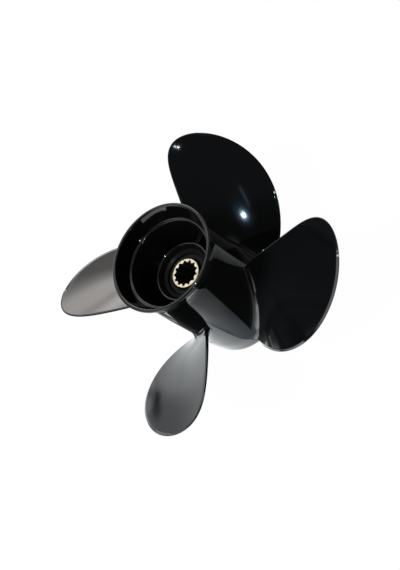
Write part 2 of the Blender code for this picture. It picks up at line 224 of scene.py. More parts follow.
class StageSettings(bpy.types.PropertyGroup):
    """Camera, floor and lights"""

    floor: colour("Colour of the floor and the background", (1.0, 1.0, 1.0))
    floor_size: length("Length of the floor's side", 12.0)
    aim: FloatVectorProperty(description="Point in view", default=(-0.0004, -0.0022, 0.0695), unit="LENGTH")
    distance: length("Distance of the camera from it", 0.6073)
    azimuth: turn("Direction of the camera, from -Y towards +X", 79.14)
    elevation: turn("Height of the camera over the horizon", 51.76)
    roll: turn("Turn of the camera about its line of sight", -58.34)
    lens: FloatProperty(description="Focal length", default=44.12, unit="CAMERA")
    surround: share("Brightness of the dark studio round the part", 0.045)
    key: share("Strength of the small bright lamp", 0.30)
    fill: share("Strength of the soft lamp that the enamel doesn't mirror", 4.0)
    floor_shade: share("How much of the part's shadow shows on the floor", 0.015)
    second_light: share("Brightness of the studio in a second reflection", 0.35)
    second_dimming: share("How much dimmer the floor is there", 0.70)
    floor_reach: length("How far from the part it reflects the floor", 0.118)


def math_step(operation):
    """A method that puts one Math node after a Number."""
    return lambda self, *others: self.step(operation, *others)


class Number:
    """A number in a node tree, so that the rule of a shape or a finish is written as plain arithmetic."""

    def __init__(self, socket):
        self.socket = socket
        self.tree = socket.id_data

    def step(self, operation, *others):
        """One Math node on this number and the others."""
        node = add_node(self.tree, "ShaderNodeMath", dict(enumerate((self, *others))), operation=operation)
        return Number(node.outputs[0])

    def ramp(self, start, end, low=0.0, high=1.0):
        """A smooth rise from low to high while this number goes from start to end."""
        inputs = {"Value": self, "From Min": start, "From Max": end, "To Min": low, "To Max": high}
        node = add_node(self.tree, "ShaderNodeMapRange", inputs, interpolation_type="SMOOTHSTEP")
        return Number(node.outputs["Result"])

    def __rsub__(self, other):
        return self * -1.0 + other

    __add__ = __radd__ = math_step("ADD")
    __sub__ = math_step("SUBTRACT")
    __mul__ = __rmul__ = math_step("MULTIPLY")
    __truediv__ = math_step("DIVIDE")
    __pow__ = math_step("POWER")
    sine = math_step("SINE")
    cosine = math_step("COSINE")
    root = math_step("SQRT")
    angle_over = math_step("ARCTAN2")
    at_least = math_step("MAXIMUM")
    at_most = math_step("MINIMUM")


def new_material(name):
    """A new material and its node tree."""
    material = bpy.data.materials.new(name)
    material.use_nodes = True
    return material, material.node_tree


def join(value, socket):
    """Join a socket or a Number to an input, or else set the input to a plain value."""
    if isinstance(value, Number):
        value = value.socket
    if isinstance(value, bpy.types.NodeSocket):
        socket.id_data.links.new(value, socket)
    elif socket.type == "RGBA":
        socket.default_value = (*value[:3], 1.0)
    else:
        socket.default_value = value


def add_node(tree, kind, inputs=None, **settings):
    """A new node with its settings and its inputs, set out in columns so that the tree can be read."""
    node = tree.nodes.new(kind)
    column, row = divmod(len(tree.nodes), 12)
    node.location = (220.0 * column, -170.0 * row)
    for key, value in settings.items():
        setattr(node, key, value)
    for key, value in (inputs or {}).items():
        join(value, node.inputs[key])
    return node


def add_inputs(tree, kinds):
    """Give a tree its inputs, each name with its kind, and return each as a Number under its name."""
    for name, kind in kinds.items():
        tree.interface.new_socket(name, in_out="INPUT", socket_type=f"NodeSocket{kind}")
    start = add_node(tree, "NodeGroupInput")
    return {name: Number(start.outputs[name]) for name in kinds}


def close_tree(tree, geometry, material):
    """End a tree in smooth shading, Realize Instances and Set Material."""
    tree.interface.new_socket("Geometry", in_out="OUTPUT", socket_type="NodeSocketGeometry")
    smooth = add_node(tree, "GeometryNodeSetShadeSmooth", {"Geometry": geometry})
    realize = add_node(tree, "GeometryNodeRealizeInstances", {"Geometry": smooth.outputs[0]})
    paint = add_node(tree, "GeometryNodeSetMaterial", {"Geometry": realize.outputs[0], "Material": material})
    add_node(tree, "NodeGroupOutput", {0: paint.outputs[0]})


def run_tree(name, tree, values, mesh=None):
    """Run a tree on a mesh, with its named inputs set, and keep the result as a plain object."""
    piece = add_object(name, mesh or bpy.data.meshes.new(name))
    modifier = piece.modifiers.new(tree.name, "NODES")
    modifier.node_group = tree
    for item in tree.interface.items_tree:
        if item.in_out == "INPUT" and item.name in values:
            modifier[item.identifier] = values[item.name]
    evaluated = piece.evaluated_get(bpy.context.evaluated_depsgraph_get())
    result = bpy.data.meshes.new_from_object(evaluated)
    piece.modifiers.remove(modifier)
    piece.data = result
    if not result.polygons:
        raise RuntimeError(f"{name} came out of its tree empty")
    return piece


def add_object(name, data):
    """A new object in the scene."""
    thing = bpy.data.objects.new(name, data)
    bpy.context.scene.collection.objects.link(thing)
    return thing


def dress(piece, slot, *nodes):
    """Set a finished piece on its body, in place of the frame's nodes."""
    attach(piece, BODY)
    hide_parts(*nodes)


def arc(radius, z, size, start, end, steps=ARC_STEPS):
    """Points (radius, z) along an arc about a centre, from one angle to the other in degrees."""
    points = []
    for step in range(steps + 1):
        angle = math.radians(start + (end - start) * step / steps)
        points.append((radius + size * math.cos(angle), z + size * math.sin(angle)))
    return points


def inner_corner(radius, z, size):
    """Points of a small hollow fillet between a wall above and a floor inside it."""
    return arc(radius - size, z + size, size, 0.0, -90.0, CORNER_STEPS)


def turned(name, profile, material):
    """Spin a closed profile of (radius, z) points once round the Z axis."""
    bm = bmesh.new()
    ring = [bm.verts.new((radius, 0.0, z)) for radius, z in profile]
    edges = [bm.edges.new((ring[i - 1], ring[i])) for i in range(len(ring))]
    axis = {"cent": (0.0, 0.0, 0.0), "axis": (0.0, 0.0, 1.0)}
    bmesh.ops.spin(bm, geom=edges, angle=math.tau, steps=WALL_SIDES, use_merge=True, **axis)
    bmesh.ops.recalc_face_normals(bm, faces=bm.faces)
    mesh = smooth_mesh(name, bm)
    mesh.materials.append(material)
    return add_object(name, mesh)


def smooth_mesh(name, bm):
    """Make a bmesh a mesh, shaded smooth except at its sharp edges."""
    mesh = bpy.data.meshes.new(name)
    bm.to_mesh(mesh)
    bm.free()
    mesh.shade_smooth()
    mesh.set_sharp_from_angle(angle=math.radians(40.0))
    return mesh


def noise(tree, scale, detail=3.0):
    """Noise on the piece's own coordinates."""
    place = add_node(tree, "ShaderNodeTexCoord").outputs["Object"]
    inputs = {"Vector": place, "Scale": scale, "Detail": detail}
    return Number(add_node(tree, "ShaderNodeTexNoise", inputs).outputs["Fac"])


def blend_colours(factor, first, second):
    """A colour between two others, each a socket or three numbers."""
    node = add_node(factor.tree, "ShaderNodeMix", {"Factor": factor}, data_type="RGBA")
    for socket in node.inputs:
        if socket.identifier in ("A_Color", "B_Color"):
            join(first if socket.name == "A" else second, socket)
    return next(socket for socket in node.outputs if socket.type == "RGBA")


def bump(height, distance, strength, after=None):
    """A bump of a real height in metres, on top of another one if given."""
    node = add_node(height.tree, "ShaderNodeBump", {"Height": height, "Distance": distance, "Strength": strength})
    if after:
        join(after, node.inputs["Normal"])
    return node.outputs["Normal"]


def axes(vector):
    """The three parts of a vector socket as Numbers."""
    split = add_node(vector.id_data, "ShaderNodeSeparateXYZ", {"Vector": vector})
    return [Number(split.outputs[axis]) for axis in "XYZ"]


def black_enamel(tree, scene):
    """Gloss black enamel over a casting: a clear top with a faint orange peel over a slightly hazy coat."""
    finish = scene.propeller_finish
    casting = bump(noise(tree, 55.0, detail=2.0), distance=0.00012, strength=0.10)
    peel = bump(noise(tree, 620.0, detail=2.0), distance=0.00002, strength=0.10, after=casting)
    return {
        "Base Color": blend_colours(noise(tree, 26.0, detail=4.0), finish.enamel, finish.enamel_warm),
        "Roughness": noise(tree, 70.0, detail=5.0) * 0.04 + (finish.enamel_haze - 0.02),
        "Specular IOR Level": 0.22,
        "Coat Weight": 0.80,
        "Coat Roughness": finish.enamel_gloss,
        "Normal": peel,
        "Coat Normal": peel,
    }


def dry_paint(tree, scene):
    """Thin dry black paint, slightly grainy, where the spray only just reached inside the hub."""
    paint = scene.propeller_finish.inside_paint
    dusty = [1.8 * part for part in paint]
    return {
        "Base Color": blend_colours(noise(tree, 90.0, detail=5.0), paint, dusty),
        "Roughness": noise(tree, 160.0, detail=4.0) * 0.20 + 0.40,
        "Specular IOR Level": 0.20,
        "Normal": bump(noise(tree, 900.0, detail=4.0), distance=0.00008, strength=0.30),
    }


def black_rubber(tree, scene):
    """Dull black rubber with a fine grain."""
    rubber = scene.propeller_finish.rubber
    darker = [0.7 * part for part in rubber]
    return {
        "Base Color": blend_colours(noise(tree, 220.0), rubber, darker),
        "Roughness": noise(tree, 400.0) * 0.2 + 0.5,
        "Specular IOR Level": 0.25,
        "Normal": bump(noise(tree, 1600.0), distance=0.00006, strength=0.35),
    }


def pale_brass(tree, scene):
    """Pale machined brass with fine rings left by the lathe, with painted shade that makes it near black in its bore
    and on its outer wall.
    """
    finish = scene.propeller_finish
    sleeve = scene.propeller_sleeve
    bright = blend_colours(noise(tree, 240.0, detail=5.0), finish.brass, finish.brass_dark)
    place = add_node(tree, "ShaderNodeTexCoord").outputs["Object"]
    x, y, z = axes(place)
    radius = (x * x + y * y).root()
    # Painted shade: below the top face in the bore and on the outer wall in the groove, the brass is coloured near
    # black and made less metallic
    inside = radius.ramp(sleeve.notch_radius + 0.0005, sleeve.notch_radius + 0.0003)
    inside = inside * z.ramp(SLEEVE_HIGH.z - 0.0001, SLEEVE_HIGH.z - 0.0006)
    outside = radius.ramp(sleeve.radius - 0.0002, sleeve.radius - 0.0001)
    painted_bore_shade = inside.at_least(outside)
    rings = {"Scale": 900.0, "Distortion": 1.5, "Vector": place}
    rings = add_node(tree, "ShaderNodeTexWave", rings, wave_type="RINGS", rings_direction="Z")
    return {
        "Base Color": blend_colours(painted_bore_shade, bright, finish.bore),
        "Metallic": (1.0 - painted_bore_shade) * 0.40,
        "Roughness": noise(tree, 900.0) * 0.16 + 0.34,
        "Normal": bump(Number(rings.outputs["Fac"]), distance=0.00002, strength=0.3),
    }


FINISHES = {
    "black_gloss_enamel": black_enamel,
    "dry_black_paint": dry_paint,
    "dull_black_rubber": black_rubber,
    "pale_turned_brass": pale_brass,
}


def finish_named(name, context):
    """A finish as a material, made the first time that it is asked for."""
    material = bpy.data.materials.get(name)
    if not material:
        material, tree = new_material(name)
        for title, value in FINISHES[name](tree, context.scene).items():
            join(value, tree.nodes["Principled BSDF"].inputs[title])
    return material


def add_enamelled(context, name, node, profile, paint_radius, paint_height):
    """Turn a piece in enamel, with dry paint on its faces inside a radius and below a height, and dress a node."""
    piece = turned(name, profile, finish_named("black_gloss_enamel", context))
    piece.data.materials.append(finish_named("dry_black_paint", context))
    for face in piece.data.polygons:
        radius = math.hypot(face.center.x, face.center.y)
        if radius < paint_radius and face.center.z < paint_height:
            face.material_index = 1
    dress(piece, "black_enamel", node)


def barrel_radius(hub, z):
    """Outer radius of the barrel at a height, a number or a Number: the lower of two straight tapers."""
    towards_nose = hub.nose_radius + (hub.widest_radius - hub.nose_radius) / hub.widest_height * z
    fall = (hub.widest_radius - hub.aft_radius) / (hub.flare_height - hub.widest_height)
    towards_flare = (hub.widest_radius + fall * hub.widest_height) - fall * z
    if isinstance(z, Number):
        return towards_nose.at_most(towards_flare)
    return min(towards_nose, towards_flare)


def tube_radius(hub, z):
    """Outer radius of the inner tube at a height."""
    reach = (z - TUBE_LOW.z) / (TUBE_HIGH.z - TUBE_LOW.z)
    return hub.tube_forward_radius + (hub.tube_aft_radius - hub.tube_forward_radius) * reach


class PROPELLER_OT_add_barrel(bpy.types.Operator):
    """Turn the outer wall of the hub"""

    bl_idname = "propeller.add_barrel"
    bl_label = "Add barrel"

    def execute(self, context):
        hub = context.scene.propeller_hub
        rounding = hub.nose_rounding
        profile = arc(barrel_radius(hub, rounding) - rounding, rounding, rounding, -90.0, 0.0)
        heights = (rounding, hub.widest_height, hub.flare_height)
        for low, high, steps in zip(heights, heights[1:], (NOSE_STEPS, TAPER_STEPS)):
            for step in range(1, steps + 1):
                z = low + (high - low) * step / steps
                profile.append((barrel_radius(hub, z), z))
        profile.append((hub.bore, hub.flare_height))
        profile += arc(hub.bore + BORE_EDGE, BORE_EDGE, BORE_EDGE, 180.0, 270.0)
        paint = (hub.bore + BORE_EDGE, hub.flare_height)
        add_enamelled(context, "exhaust_barrel", "hub_barrel", profile, *paint)
        return {"FINISHED"}


class PROPELLER_OT_add_ring(bpy.types.Operator):
    """Turn the flared ring at the aft end of the barrel, with the step inside its mouth"""

    bl_idname = "propeller.add_ring"
    bl_label = "Add flared ring"

    def execute(self, context):
        hub = context.scene.propeller_hub
        rounding = hub.ring_rounding
        lip = hub.top_height - rounding
        profile = []
        for step in range(FLARE_STEPS):
            reach = step / FLARE_STEPS
            radius = hub.aft_radius + (hub.ring_radius - hub.aft_radius) * reach**hub.flare_curve
            profile.append((radius, hub.flare_height + (lip - hub.flare_height) * reach))
        profile += arc(hub.ring_radius - rounding, lip, rounding, 0.0, 90.0)
        profile += arc(hub.mouth_radius + rounding, lip, rounding, 90.0, 180.0)
        profile += inner_corner(hub.step_radius, hub.step_height, STEP_CORNER)
        inner = hub.step_rounding
        profile += arc(hub.bore + inner, hub.step_height - inner, inner, 90.0, 180.0)
        profile.append((hub.bore, hub.flare_height))
        paint = (hub.bore + PAINT_MARGIN, hub.step_height)
        add_enamelled(context, "flared_outlet_ring", "exhaust_flare_ring", profile, *paint)
        return {"FINISHED"}


class PROPELLER_OT_add_tube(bpy.types.Operator):
    """Turn the inner tube of the hub, with the cup and the shoulder in its aft end"""

    bl_idname = "propeller.add_tube"
    bl_label = "Add inner tube"

    def execute(self, context):
        hub = context.scene.propeller_hub
        edge = hub.tube_edge
        rounding = hub.shoulder_rounding
        top = TUBE_HIGH.z - edge
        shoulder_low = hub.cup_floor_height - hub.shoulder_thickness
        shoulder_z = hub.cup_floor_height - rounding
        profile = [(hub.tube_forward_radius, TUBE_LOW.z)]
        profile += arc(hub.tube_aft_radius - edge, top, edge, 0.0, 90.0)
        profile += arc(hub.cup_radius + edge, top, edge, 90.0, 180.0)
        profile += inner_corner(hub.cup_floor_radius, hub.cup_floor_height, CUP_CORNER)
        profile += arc(hub.shoulder_radius + rounding, shoulder_z, rounding, 90.0, 180.0)
        bore = BUSHING_HIGH.x
        profile += [(hub.shoulder_radius, shoulder_low), (bore, shoulder_low), (bore, TUBE_LOW.z)]
        add_enamelled(context, "bushing_tube", "inner_hub_tube", profile, hub.tube_forward_radius, top)
        return {"FINISHED"}


class PROPELLER_OT_add_bushing(bpy.types.Operator):
    """Turn the rubber bushing that carries the sleeve"""

    bl_idname = "propeller.add_bushing"
    bl_label = "Add bushing"

    def execute(self, context):
        hub = context.scene.propeller_hub
        sleeve = context.scene.propeller_sleeve
        neck = hub.shoulder_radius
        shoulder_low = hub.cup_floor_height - hub.shoulder_thickness
        groove = sleeve.radius + sleeve.bushing_groove
        top = sleeve.neck_height
        profile = [(BUSHING_HIGH.x, BUSHING_LOW.z), (BUSHING_HIGH.x, shoulder_low), (neck, shoulder_low)]
        profile += arc(neck - NECK_EDGE, top - NECK_EDGE, NECK_EDGE, 0.0, 90.0, CORNER_STEPS)
        profile += arc(groove + NECK_EDGE, top - NECK_EDGE, NECK_EDGE, 90.0, 180.0, CORNER_STEPS)
        profile += [(groove, top - GROOVE_DEPTH), (sleeve.radius, top - GROOVE_DEPTH)]
        profile.append((sleeve.radius, BUSHING_LOW.z))
        piece = turned("bushing_rubber", profile, finish_named("dull_black_rubber", context))
        dress(piece, "black_rubber", "rubber_bushing")
        return {"FINISHED"}


def copies_tree(name, material):
    """A tree that sets copies of a piece evenly round the shaft's line and welds them where they meet."""
    tree = bpy.data.node_groups.new(name, "GeometryNodeTree")
    take = add_inputs(tree, {"Piece": "Geometry", "Count": "Int", "First Turn": "Float", "Weld": "Float"})
    points = add_node(tree, "GeometryNodePoints", {"Count": take["Count"]})
    index = Number(add_node(tree, "GeometryNodeInputIndex").outputs["Index"])
    angle = index / take["Count"] * math.tau + take["First Turn"]
    rotation = add_node(tree, "ShaderNodeCombineXYZ", {"Z": angle}).outputs["Vector"]
    copies = {"Points": points.outputs[0], "Instance": take["Piece"], "Rotation": rotation}
    copies = add_node(tree, "GeometryNodeInstanceOnPoints", copies)
    realize = add_node(tree, "GeometryNodeRealizeInstances", {"Geometry": copies.outputs[0]})
    weld = {"Geometry": realize.outputs[0], "Distance": take["Weld"]}
    close_tree(tree, add_node(tree, "GeometryNodeMergeByDistance", weld).outputs[0], material)
    return tree


def rib_mesh(hub):
    """One rib along +X, from the tube's wall to the barrel's, with rounded ends."""
    bm = bmesh.new()
    half = 0.5 * (RIB_HIGH.y - RIB_LOW.y)
    rows = []
    for z in (RIB_LOW.z, RIB_HIGH.z):
        inner = tube_radius(hub, z) - RIB_SINK
        outer = hub.bore + RIB_SINK
        corners = ((inner, -half), (outer, -half), (outer, half), (inner, half))
        rows.append([bm.verts.new((x, y, z)) for x, y in corners])
    for i in range(4):
        j = (i + 1) % 4
        bm.faces.new((rows[0][i], rows[0][j], rows[1][j], rows[1][i]))
    bm.faces.new(rows[0][::-1])
    bm.faces.new(rows[1])
    edges = [bm.edges.get((row[i], row[i + 1])) for row in rows for i in (0, 2)]
    bmesh.ops.bevel(bm, geom=edges, offset=hub.rib_rounding, segments=6, profile=0.5, affect="EDGES")
    bmesh.ops.recalc_face_normals(bm, faces=bm.faces)
    return smooth_mesh("rib", bm)


class PROPELLER_OT_add_ribs(bpy.types.Operator):
    """Set the ribs between the tube and the barrel"""

    bl_idname = "propeller.add_ribs"
    bl_label = "Add ribs"

    def execute(self, context):
        tree = copies_tree("Ribs round the tube", finish_named("dry_black_paint", context))
        values = {"Count": RIB_COUNT, "First Turn": 0.0, "Weld": 0.0}
        piece = run_tree("hub_ribs", tree, values, rib_mesh(context.scene.propeller_hub))
        dress(piece, "black_enamel", *RIB_NODES)
        return {"FINISHED"}


def notch_line(sleeve):
    """Points (angle, radius) across one notch of the bore and half a tooth to each side of it."""
    depth = sleeve.notch_radius - sleeve.tooth_radius
    line = []
    for step in range(-NOTCH_STEPS, NOTCH_STEPS + 1):
        place = step / NOTCH_STEPS
        rise = (sleeve.mouth_share - abs(place)) / (sleeve.mouth_share - sleeve.floor_share)
        rise = max(0.0, min(1.0, rise))
        rise = rise * rise * (3.0 - 2.0 * rise)
        line.append((0.5 * math.tau / sleeve.teeth * place, sleeve.tooth_radius + depth * rise))
    return line


def tooth_mesh(sleeve):
    """One sector of the sleeve, one notch wide: outer wall, chamfers, end faces and splined bore."""
    bm = bmesh.new()
    line = notch_line(sleeve)
    low = SLEEVE_LOW.z
    high = SLEEVE_HIGH.z
    outer = [sleeve.radius] * len(line)
    narrow = [sleeve.radius - sleeve.chamfer] * len(line)
    bore = [radius for angle, radius in line]
    mouth = [radius + NOTCH_EDGE for radius in bore]
    levels = (
        (narrow, low),
        (outer, low + sleeve.chamfer),
        (outer, high - sleeve.chamfer),
        (narrow, high),
        (mouth, high),
        (bore, high - NOTCH_EDGE),
        (bore, low + NOTCH_EDGE),
        (mouth, low),
    )
    ways = [(math.cos(angle), math.sin(angle)) for angle, radius in line]
    rows = [[bm.verts.new((r * x, r * y, z)) for r, (x, y) in zip(radii, ways)] for radii, z in levels]
    for lower, upper in zip(rows, rows[1:] + rows[:1]):
        for i in range(len(line) - 1):
            bm.faces.new((lower[i], lower[i + 1], upper[i + 1], upper[i]))
    return smooth_mesh("tooth", bm)


class PROPELLER_OT_add_sleeve(bpy.types.Operator):
    """Make the splined brass sleeve, one notch at a time"""

    bl_idname = "propeller.add_sleeve"
    bl_label = "Add splined sleeve"

    def execute(self, context):
        sleeve = context.scene.propeller_sleeve
        tree = copies_tree("Notches round the bore", finish_named("pale_turned_brass", context))
        values = {"Count": sleeve.teeth, "First Turn": sleeve.first_turn, "Weld": WELD}
        piece = run_tree("brass_sleeve", tree, values, tooth_mesh(sleeve))
        piece.data.set_sharp_from_angle(angle=math.radians(30.0))
        dress(piece, "pale_brass", "splined_sleeve")
        return {"FINISHED"}


def blade_outline(blade, span):
    """Half the chord and the shift of its middle along the helix, how far the outline is open, and its width."""
    closing = (1.0 - span.at_most(1.0) ** blade.tip_roundness).at_least(0.0).root()
    width = blade.chord_at_hub + blade.chord_growth * span + blade.chord_fall * span * span
    half = 0.5 * blade.tip_radius * closing * width
    shift = blade.tip_radius * span * (blade.skew + span * (blade.skew_middle + span * blade.skew_tip))
    return half, shift, closing, width


def rim_normal(blade, span, closing, width, side, reach):
    """Direction out of the outline, along the helix and along the radius, at the edge on one side."""
    half_slope = closing * closing * (blade.chord_growth + 2.0 * blade.chord_fall * span)
    half_slope = half_slope - 0.5 * blade.tip_roundness * span ** (blade.tip_roundness - 1.0) * width
    half_slope = 0.5 * blade.tip_radius * half_slope
    shift_slope = blade.skew + span * (2.0 * blade.skew_middle + 3.0 * blade.skew_tip * span)
    lean = blade.tip_radius * shift_slope * closing + side * half_slope
    across = reach * closing
    size = (across * across + lean * lean).root().at_least(0.000001)
    return side * across / size, -side * lean / size


def blade_thickness(blade, span, place, closing):
    """Thickness of the blade, and of its edge, at a place on the chord from -1 to 1."""
    left = 1.0 - span.at_least(0.0).at_most(1.0)
    thickest = blade.tip_thickness + (blade.root_thickness - blade.tip_thickness) * left**blade.thickness_fall
    trailing = blade.trailing_edge_tip + (blade.trailing_edge_root - blade.trailing_edge_tip) * left
    edge = 0.5 * (trailing + blade.leading_edge) + 0.5 * (blade.leading_edge - trailing) * place
    crown = (thickest - 0.5 * (trailing + blade.leading_edge)).at_least(0.0) * closing
    return edge + crown * (1.0 - place * place), edge


def edge_profile(blade, place, depth):
    """How far out an edge reaches at a depth: half round behind, bevelled on the aft side in front."""
    half_round = (1.0 - (2.0 * depth - 1.0) * (2.0 * depth - 1.0)).at_least(0.0).root()
    past = ((depth - blade.leading_bevel) / (1.0 - blade.leading_bevel)).at_least(0.0)
    bevelled = (depth / blade.leading_bevel).at_most(1.0) * (1.0 - past * past).at_least(0.0).root()
    return half_round + (bevelled - half_round) * (0.5 + 0.5 * place)


def blade_point(blade, span, place, depth, rim, flare):
    """A point of the blade as radius, angle and height, from its span, place on the chord and depth."""
    reach = blade.tip_radius - blade.reference_radius
    half, shift, closing, width = blade_outline(blade, span)
    thick, edge = blade_thickness(blade, span, place, closing)
    ahead, behind = (rim_normal(blade, span, closing, width, side, reach) for side in (1.0, -1.0))
    lead = 0.5 + 0.5 * place
    bulge = edge * (blade.trailing_nose + (blade.leading_nose - blade.trailing_nose) * lead)
    out_along, out_radius = (first * lead + second * (1.0 - lead) for first, second in zip(ahead, behind))
    drawn_in = bulge * (rim - 1.0)
    along = shift + place * (half + blade.edge_fillet_share * flare) + out_along * drawn_in
    radius = blade.reference_radius + reach * span + out_radius * drawn_in
    own_span = (radius - blade.reference_radius) / reach
    pitch = blade.tip_radius * (blade.pitch_at_hub + own_span * (blade.pitch_change + own_span * blade.pitch_return))
    slope = pitch.angle_over(math.tau * radius)
    across = (depth - blade.aft_share) * thick + (2.0 * depth - 1.0) * flare
    angle = (across * slope.sine() - along * slope.cosine()) / radius
    middle = blade.root_height + blade.tip_radius * own_span * (blade.rake + own_span * blade.rake_curve)
    height = middle - along * slope.sine() - across * slope.cosine()
    return radius, angle, height


def blade_tree(sizes, material):
    """The tree of one blade: a box of points, bent to the blade's rule from the barrel's wall to the tip."""
    tree = bpy.data.node_groups.new("Screw blade", "GeometryNodeTree")
    blade = SimpleNamespace(**add_inputs(tree, dict.fromkeys(sizes, "Float")))
    counts = {"X": BLADE_CHORD_STEPS, "Y": BLADE_RIM_STEPS, "Z": BLADE_SPAN_STEPS}
    box = add_node(tree, "GeometryNodeMeshCube", {f"Vertices {axis}": count + 1 for axis, count in counts.items()})
    x, y, z = axes(add_node(tree, "GeometryNodeInputPosition").outputs["Position"])

    # Rows are closer together near the edges, in the root fillet and towards the tip
    place = 1.2 * x + 0.4 * (math.pi * x).sine()
    depth = 0.5 + 0.5 * (math.pi * y).sine()
    rim = edge_profile(blade, place, depth)
    row = z + 0.5
    in_fillet = (row / FILLET_ROWS).at_most(1.0) * (0.5 * math.pi)
    flare = blade.fillet_radius * (1.0 - in_fillet.sine()) * (1.0 - blade.fillet_loss * place**4.0)
    lift = blade.fillet_radius * (1.0 - in_fillet.cosine()) - blade.seat_depth
    outward = ((row - FILLET_ROWS) / (1.0 - FILLET_ROWS)).at_least(0.0)
    outward = 1.0 - (1.0 - outward) ** CROWDING

    # The root follows the barrel's wall, whose radius depends on the height that the root has there
    reach = blade.tip_radius - blade.reference_radius
    root = (blade.aft_radius - blade.reference_radius + lift) / reach
    for _ in range(3):
        radius, angle, height = blade_point(blade, root, place, depth, rim, flare)
        root = root + (barrel_radius(blade, height.at_least(0.0)) + lift - radius) / reach
    span = root + (LAST_SPAN - root) * outward
    radius, angle, height = blade_point(blade, span, place, depth, rim, flare)
    angle = angle + blade.own_turn
    joined = {"X": radius * angle.cosine(), "Y": radius * angle.sine(), "Z": height}
    joined = add_node(tree, "ShaderNodeCombineXYZ", joined).outputs["Vector"]
    bent = add_node(tree, "GeometryNodeSetPosition", {"Geometry": box.outputs["Mesh"], "Position": joined})
    close_tree(tree, bent.outputs["Geometry"], material)
    return tree


class PROPELLER_OT_add_blades(bpy.types.Operator):
    """Bend the blades to their screw surface and set them on the barrel"""

    bl_idname = "propeller.add_blades"
    bl_label = "Add blades"

    def execute(self, context):
        blade = context.scene.propeller_blade
        hub = context.scene.propeller_hub
        hub_keys = ("nose_radius", "widest_radius", "widest_height", "aft_radius", "flare_height", "seat_depth")
        sizes = {key: getattr(blade, key) for key in blade.__annotations__}
        sizes.update({key: getattr(hub, key) for key in hub_keys}, own_turn=0.0)
        tree = blade_tree(sizes, finish_named("black_gloss_enamel", context))
        for index, node in enumerate(BLADE_NODES):
            sizes["own_turn"] = blade.first_turn - index * math.tau / BLADE_COUNT
            piece = run_tree(f"swept_{node}", tree, sizes)
            dress(piece, "black_enamel", node)
        return {"FINISHED"}


COLD = (0.76, 0.87, 1.0)
NEUTRAL = (1.0, 1.0, 1.0)

# Soft boxes and dark flags round the part: azimuth, elevation, radius of the even middle, radius where it has faded
# out (all in degrees), brightness (below zero for a flag) and colour
SOFT_BOXES = (
    (124.5, 26.5, 4.0, 16.0, 3.2, (1.0, 0.96, 0.93)),
    (121.8, 30.0, 1.0, 7.0, 1.6, (1.0, 0.94, 0.90)),
    (137.0, 11.0, 5.0, 18.0, 3.0, (1.0, 0.98, 0.96)),
    (103.0, 36.0, 4.0, 18.0, 1.3, (1.0, 0.97, 0.95)),
    (118.0, 59.0, 3.0, 11.0, 3.0, (1.0, 0.97, 0.95)),
    (159.0, 16.0, 3.0, 9.0, 1.8, NEUTRAL),
    (166.0, 50.0, 6.0, 16.0, 1.0, (1.0, 0.99, 0.97)),
    (125.0, 80.0, 8.0, 20.0, 0.60, NEUTRAL),
    (0.0, 27.0, 2.0, 15.0, 0.25, (0.90, 0.95, 1.0)),
    (-120.0, 41.0, 10.0, 22.0, 1.7, NEUTRAL),
    (-90.0, 19.0, 10.0, 20.0, 1.2, (1.0, 0.98, 0.96)),
    (-28.1, 53.1, 0.5, 4.2, 2.4, (0.40, 0.68, 1.0)),
    (-27.4, 53.8, 2.0, 8.5, 0.22, (0.20, 0.60, 1.0)),
    (165.2, 0.8, 0.5, 2.4, 0.50, NEUTRAL),
    (162.5, -3.4, 0.5, 2.5, 0.40, NEUTRAL),
    (167.0, -3.2, 0.4, 1.8, -0.34, NEUTRAL),
    (168.3, -1.2, 0.4, 1.9, -0.32, NEUTRAL),
    (-152.0, 12.0, 7.0, 11.0, -0.08, NEUTRAL),
)
DARKEST = (0.02, 0.02, 0.02)

# The dark side of what second reflections see, given like a soft box, and how much of the light it takes
DARK_SIDE = (-135.0, 2.0, 25.0, 50.0)
DARK_SIDE_LOSS = 0.85

# Brightness of the low wall at azimuths round the part, in degrees
LOW_WALL = (
    ((-180.0, 1.20), (-163.0, 1.05), (-161.0, 0.80), (-158.2, 0.05), (-143.0, 0.05), (-131.0, 2.20))
    + ((-103.0, 2.70), (-88.0, 2.00), (-75.0, 1.10), (-60.0, 0.60), (-20.0, 0.30), (60.0, 0.10))
    + ((120.0, 0.30), (162.0, 0.72), (173.0, 0.80), (178.0, 1.20))
)

# Heights on the unit sphere at which the wall ends and the ground below it begins, the part of the sphere along X
# where the wall stands higher, by how much, and how much of its light the far ground loses there
WALL_TOP, WALL_END, WALL_FOOT = (math.sin(math.radians(angle)) for angle in (9.0, 13.0, 2.0))
GROUND_NEAR, GROUND_FAR = (math.sin(math.radians(angle)) for angle in (-8.0, -3.0))
HIGH_SIDE = (-0.60, -0.85)
WALL_LIFT = 0.12
GROUND_LOSS = 0.5
# Colour of the wall and of the floor's painted light, and of the floor's painted half shade in reflections
WALL_COLOUR = (0.94, 0.98, 1.0)
SHADE_COLOUR = (0.84, 0.94, 1.02)

